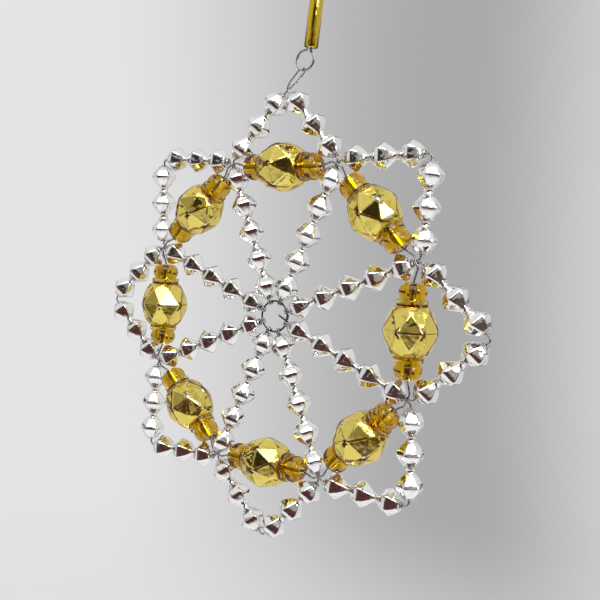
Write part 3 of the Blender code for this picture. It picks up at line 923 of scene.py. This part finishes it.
def blown_glass(name, amber, depth):
    """Clear blown glass, or amber where a colour is given, with a faint film of handling."""
    made, tree, shader = new_material(name)
    shader.inputs["Base Color"].default_value = (1, 1, 1, 1)
    shader.inputs["Transmission Weight"].default_value = 1.0
    shader.inputs["IOR"].default_value = 1.5
    film = group_node(tree, "handling_film", {"Scale": 380.0, "Clean": 0.0, "Smeared": 0.06})
    tree.links.new(film.outputs["Roughness"], shader.inputs["Roughness"])
    add_ripple(tree, shader, scale=260.0, strength=0.1, distance=0.2 * MM)
    if amber:
        absorb = add_node(tree, "ShaderNodeVolumeAbsorption", {"Color": (*amber, 1), "Density": depth})
        out = next(node for node in tree.nodes if node.type == "OUTPUT_MATERIAL")
        tree.links.new(absorb.outputs["Volume"], out.inputs["Volume"])
    return made


def drawn_steel(name, steel, dull):
    """Bright wire, or wire painted dark as a painted reflection of dark surroundings, with fine draw marks
    and a little grime.
    """
    made, tree, shader = new_material(name)
    shader.inputs["Metallic"].default_value = 1.0
    place = bead_coordinates(tree)
    marks = add_node(tree, "ShaderNodeTexNoise", {"Vector": place, "Scale": 2600.0, "Detail": 3.0})
    shade = add_node(
        tree, "ShaderNodeMapRange", {"Value": marks.outputs["Fac"], "From Min": 0.4, "From Max": 0.7}
    )
    tree.links.new(blend(tree, shade.outputs["Result"], steel, dull), shader.inputs["Base Color"])
    film = group_node(tree, "handling_film", {"Scale": 900.0, "Clean": 0.18, "Smeared": 0.42})
    tree.links.new(film.outputs["Roughness"], shader.inputs["Roughness"])
    add_bump(tree, shader, marks.outputs["Fac"], strength=0.25, distance=0.02 * MM)
    return made


def finish(name):
    """One of the ornament's finishes, made when it is first used."""
    made = bpy.data.materials.get(name)
    if made:
        return made
    look = settings()
    recipes = {
        "clear_blown_glass": (blown_glass, None, 0.0),
        "gold_amber_glass": (blown_glass, look.gold.amber, look.gold.depth),
        "seed_amber_glass": (blown_glass, look.seeds.amber, look.seeds.depth),
        "silver_film": (silvering, look.rods.silver, look.rods.tarnish),
        "gold_film": (silvering, look.gold.silver, look.gold.tarnish),
        "drawn_steel": (drawn_steel, look.wires.steel, look.wires.dull),
        # The hub ring's steel is painted dark: a painted reflection of its dark surroundings
        "blackened_steel": (drawn_steel, look.wires.black, look.wires.painted_dark_marks),
    }
    maker, first, second = recipes[name]
    return maker(name, first, second)


class ORNAMENT_OT_silver_rods(bpy.types.Operator):
    """Build the silvered glass rods of the spokes and petals"""

    bl_idname = "ornament.silver_rods"
    bl_label = "Silver Rods"

    def execute(self, context):
        rods = settings().rods
        meshes = {}
        for name, beads in (("spoke_rod", SPOKE_BEADS), ("petal_rod", PETAL_BEADS)):
            meshes[name] = (
                rod_glass_mesh(f"{name}_glass", rods, beads),
                rod_film_mesh(f"{name}_lining", rods, beads),
            )
        places = []
        for turn in range(PETALS):
            places.append((f"spoke_rod_{turn + 1}", "spoke_rod"))
            for side in ("left", "right"):
                places.append((f"petal_rod_{turn + 1}_{side}", "petal_rod"))
        viewer = star_matrix().to_3x3() @ VIEWER
        for node, kind in places:
            glass, lining = meshes[kind]
            matrix = bead_matrix(node, viewer_roll(node, viewer))
            add_piece(f"{node}_glass", glass, matrix, node, finish("clear_blown_glass"), node)
            add_piece(f"{node}_lining", lining, matrix, node, finish("silver_film"))
        return {"FINISHED"}


class ORNAMENT_OT_gold_beads(bpy.types.Operator):
    """Build the large faceted gold beads on the ring wire"""

    bl_idname = "ornament.gold_beads"
    bl_label = "Gold Beads"

    def execute(self, context):
        gold = settings().gold
        glass = gold_glass_mesh(gold)
        lining = gold_lining_mesh(gold)
        for petal, roll in enumerate(GOLD_ROLLS):
            node = f"gold_bead_{petal + 1}"
            matrix = bead_matrix(node, roll)
            shell = add_piece(f"{node}_glass", glass, matrix, node, finish("gold_amber_glass"), node)
            film = add_piece(f"{node}_lining", lining, matrix, node, finish("gold_film"))
            keep_facets_flat(shell)
            keep_facets_flat(film)
        return {"FINISHED"}


class ORNAMENT_OT_seed_beads(bpy.types.Operator):
    """Build the amber seed beads at both ends of each gold bead"""

    bl_idname = "ornament.seed_beads"
    bl_label = "Seed Beads"

    def execute(self, context):
        seeds = settings().seeds
        glass = seed_mesh(seeds)
        half = seeds.width / 2 - seeds.lip
        lining = lining_mesh("seed_bead_lining", seeds.bore / 2, half, seeds.film)
        for petal in range(PETALS):
            for side in ("left", "right"):
                node = f"seed_bead_{petal + 1}_{side}"
                matrix = bead_matrix(node)
                add_piece(f"{node}_glass", glass, matrix, node, finish("seed_amber_glass"), node)
                add_piece(f"{node}_lining", lining, matrix, node, finish("gold_film"))
        return {"FINISHED"}


class ORNAMENT_OT_star_wires(bpy.types.Operator):
    """Bend the petal wires, the ring wire and the hub ring"""

    bl_idname = "ornament.star_wires"
    bl_label = "Star Wires"

    def execute(self, context):
        wires = settings().wires
        paths = {"petal_wire_1": eye_wire_path(wires)}
        for petal in range(1, PETALS):
            paths[f"petal_wire_{petal + 1}"] = petal_wire_path(wires, petal)
        paths["ring_wire"] = ring_wire_path(wires)
        paths["hub_ring"] = hub_ring_path(wires)
        star = star_matrix()
        for node, path in paths.items():
            curve = wire_curve(f"{node}_steel", path, wires.diameter)
            # The hub ring takes the steel that is painted dark, a painted reflection of its dark
            # surroundings
            steel = finish("blackened_steel" if node == "hub_ring" else "drawn_steel")
            add_piece(f"{node}_steel", curve, star, "star", steel, node)
        return {"FINISHED"}


class ORNAMENT_OT_hanger(bpy.types.Operator):
    """Bend the hanger wire and put the gold tube on its stem"""

    bl_idname = "ornament.hanger"
    bl_label = "Hanger"

    def execute(self, context):
        hanger = settings().hanger
        curve = wire_curve("hanger_wire_steel", hanger_path(hanger), hanger.wire)
        steel = finish("drawn_steel")
        add_piece("hanger_wire_steel", curve, Matrix(), "hanger", steel, "hanger_wire")
        matrix = Matrix.Translation(joint_place("tube"))
        half = hanger.tube_length / 2
        bore = hanger.bore / 2
        glass = tube_mesh("hanger_tube_glass", hanger.tube / 2, bore, half, hanger.lip)
        lining = lining_mesh("hanger_tube_lining", bore, half - hanger.lip, hanger.film)
        amber = finish("gold_amber_glass")
        add_piece("hanger_tube_glass", glass, matrix, "tube", amber, "hanger_tube")
        add_piece("hanger_tube_lining", lining, matrix, "tube", finish("gold_film"))
        return {"FINISHED"}


def soft_step(tree, value, start, end):
    """Zero up to a start, one from an end on, and a soft step between."""
    values = {"Value": value, "From Min": start, "From Max": end}
    step = add_node(tree, "ShaderNodeMapRange", values, interpolation_type="SMOOTHSTEP")
    return step.outputs["Result"]


def along(tree, way, axis):
    """How far a way goes along an axis."""
    product = add_node(tree, "ShaderNodeVectorMath", {0: way, 1: axis}, operation="DOT_PRODUCT")
    return product.outputs["Value"]


def add_world(stage, right, ahead):
    """A pale backdrop with a soft upright shaded band, pale sides and ceiling, and a pale room."""
    world = bpy.data.worlds.new("backdrop")
    bpy.context.scene.world = world
    world.use_nodes = True
    tree = world.node_tree
    way = add_node(tree, "ShaderNodeTexCoord").outputs["Generated"]
    across = along(tree, way, right)
    darkest, lighter = BAND_DARKEST
    paper = blend(tree, soft_step(tree, across, BAND_START, darkest), stage.sky_left, stage.sky_band)
    paper = blend(tree, soft_step(tree, across, lighter, BAND_END), paper, stage.sky_right)
    depth = along(tree, way, ahead)
    paper = blend(tree, soft_step(tree, depth, *SIDES_FADE), paper, stage.sides)
    room = blend(tree, soft_step(tree, depth, *ROOM_FADE), paper, stage.room)
    rise = add_node(tree, "ShaderNodeSeparateXYZ", {"Vector": way}).outputs["Z"]
    whole = blend(tree, soft_step(tree, rise, *CEILING_FADE), room, stage.ceiling)
    tree.links.new(whole, tree.nodes["Background"].inputs["Color"])


def add_floor(stage):
    """A pale round floor below the hanging ornament, which fades into the backdrop at its rim."""
    shape = bmesh.new()
    bmesh.ops.create_circle(shape, cap_ends=True, segments=FLOOR_SIDES, radius=FLOOR_RADIUS)
    floor = shape_object("floor", shape)
    floor.location.z = stage.floor_height
    made, tree, shader = new_material("floor_paper")
    shader.inputs["Roughness"].default_value = 0.9
    place = add_node(tree, "ShaderNodeTexCoord").outputs["Object"]
    values = {"Vector": place, "Scale": PAPER_SCALE, "Detail": 4.0}
    grain = add_node(tree, "ShaderNodeTexNoise", values)
    shade = [part * PAPER_SHADE for part in stage.floor]
    paper = blend(tree, grain.outputs["Fac"], stage.floor, shade)
    tree.links.new(paper, shader.inputs["Base Color"])
    far = add_node(tree, "ShaderNodeVectorMath", {0: place}, operation="LENGTH")
    tree.links.new(soft_step(tree, far.outputs["Value"], *FLOOR_FADE), shader.inputs["Alpha"])
    floor.data.materials.append(made)


def way_to(turn, rise):
    """Unit vector to the front, turned about Z and then raised."""
    return Vector((math.sin(turn) * math.cos(rise), -math.cos(turn) * math.cos(rise), math.sin(rise)))


def add_card(name, tint, hub, far, facing, half_width, low, high):
    """A curved card round the star, between two heights, that only mirrors show."""
    points = []
    faces = []
    for row in range(CARD_STEPS + 1):
        rise = low + (high - low) * row / CARD_STEPS
        for column in range(CARD_STEPS + 1):
            turn = facing + half_width * (2 * column / CARD_STEPS - 1)
            points.append(way_to(turn, rise) * far)
    for row in range(CARD_STEPS):
        for column in range(CARD_STEPS):
            start = row * (CARD_STEPS + 1) + column
            after = start + CARD_STEPS + 1
            faces.append((start, start + 1, after + 1, after))
    mesh = bpy.data.meshes.new(name)
    mesh.from_pydata(points, [], faces)
    card = add_object(name, mesh)
    card.location = hub
    made, tree, shader = new_material(f"{name}_cloth")
    shader.inputs["Roughness"].default_value = 1.0
    place = add_node(tree, "ShaderNodeTexCoord").outputs["Object"]
    values = {"Vector": place, "Scale": CARD_FOLD_SCALE, "Detail": 2.0}
    folds = add_node(tree, "ShaderNodeTexNoise", values)
    cloth = blend(tree, folds.outputs["Fac"], [part * CARD_FOLD_SHADE for part in tint], tint)
    tree.links.new(cloth, shader.inputs["Base Color"])
    card.data.materials.append(made)
    for ray in ("camera", "diffuse", "shadow", "volume_scatter"):
        setattr(card, f"visible_{ray}", False)


def add_camera(stage, star):
    """The camera stands where the star was seen from: to the right, a little above the hub."""
    turn = Matrix((CAMERA_RIGHT, -CAMERA_DOWN, -CAMERA_AHEAD)).transposed().to_4x4()
    data = bpy.data.cameras.new("camera")
    data.lens = stage.lens
    data.sensor_width = SENSOR_WIDTH
    data.clip_start = NEAREST_SEEN
    camera = add_object("camera", data)
    camera.matrix_world = star @ Matrix.Translation(CAMERA_PLACE * MM) @ turn
    bpy.context.scene.camera = camera
    return camera


def add_softbox(name, power, centre, target, width):
    """A square soft light that faces a target and isn't seen by the camera itself."""
    data = bpy.data.lights.new(name, "AREA")
    data.shape = "SQUARE"
    data.size = width
    data.energy = power
    lamp = add_object(name, data)
    lamp.location = centre
    lamp.rotation_euler = (target - centre).to_track_quat("-Z", "Y").to_euler()
    lamp.visible_camera = False


class ORNAMENT_OT_stage(bpy.types.Operator):
    """Set the plain floor, the soft light and the camera"""

    bl_idname = "ornament.stage"
    bl_label = "Stage"

    def execute(self, context):
        stage = settings().stage
        star = star_matrix()
        hub = star.translation
        add_floor(stage)
        camera = add_camera(stage, star)
        view = camera.matrix_world.to_3x3()
        to_camera = camera.matrix_world.translation - hub
        facing = math.atan2(to_camera.x, -to_camera.y)
        add_world(stage, view @ Vector((1, 0, 0)), view @ Vector((0, 0, -1)))
        for name, tint, far, *angles in CARDS:
            turn, half_width, low, high = [math.radians(angle) for angle in angles]
            add_card(name, getattr(stage, tint), hub, far, facing + turn, half_width, low, high)
        light = hub + way_to(facing + LIGHT_TURN, LIGHT_RISE) * LIGHT_DISTANCE
        add_softbox("overhead", stage.softbox, light, hub, LIGHT_WIDTH)
        window = hub + way_to(facing + WINDOW_TURN, WINDOW_RISE) * LIGHT_DISTANCE
        add_softbox("window", stage.window, window, hub, WINDOW_WIDTH)
        paths = context.scene.cycles
        paths.max_bounces = BOUNCES
        paths.glossy_bounces = BOUNCES
        paths.transmission_bounces = BOUNCES
        context.scene.view_settings.view_transform = "Standard"
        return {"FINISHED"}


class ORNAMENT_PT_panel(bpy.types.Panel):
    """Lists the steps that build the ornament"""

    bl_idname = "ORNAMENT_PT_panel"
    bl_label = "Beaded Star Ornament"
    bl_space_type = "VIEW_3D"
    bl_region_type = "UI"
    bl_category = "Ornament"

    def draw(self, context):
        for step in STEPS:
            self.layout.operator(step.bl_idname)


STEPS = (
    ORNAMENT_OT_silver_rods,
    ORNAMENT_OT_gold_beads,
    ORNAMENT_OT_seed_beads,
    ORNAMENT_OT_star_wires,
    ORNAMENT_OT_hanger,
    ORNAMENT_OT_stage,
)
GROUPS = (
    RodSettings,
    GoldSettings,
    SeedSettings,
    WireSettings,
    HangerSettings,
    StageSettings,
    OrnamentSettings,
)


def register():
    for made in GROUPS + STEPS + (ORNAMENT_PT_panel,):
        bpy.utils.register_class(made)
    bpy.types.Scene.ornament = bpy.props.PointerProperty(
        name="Ornament", description="Settings of the beaded star ornament", type=OrnamentSettings
    )


def unregister():
    del bpy.types.Scene.ornament
    for made in reversed(GROUPS + STEPS + (ORNAMENT_PT_panel,)):
        bpy.utils.unregister_class(made)


def main():
    """Builds every piece in order, then the stage."""
    register()
    bpy.ops.ornament.silver_rods()
    bpy.ops.ornament.gold_beads()
    bpy.ops.ornament.seed_beads()
    bpy.ops.ornament.star_wires()
    bpy.ops.ornament.hanger()
    bpy.ops.ornament.stage()
    bpy.context.view_layer.update()


if __name__ == "__main__":
    main()
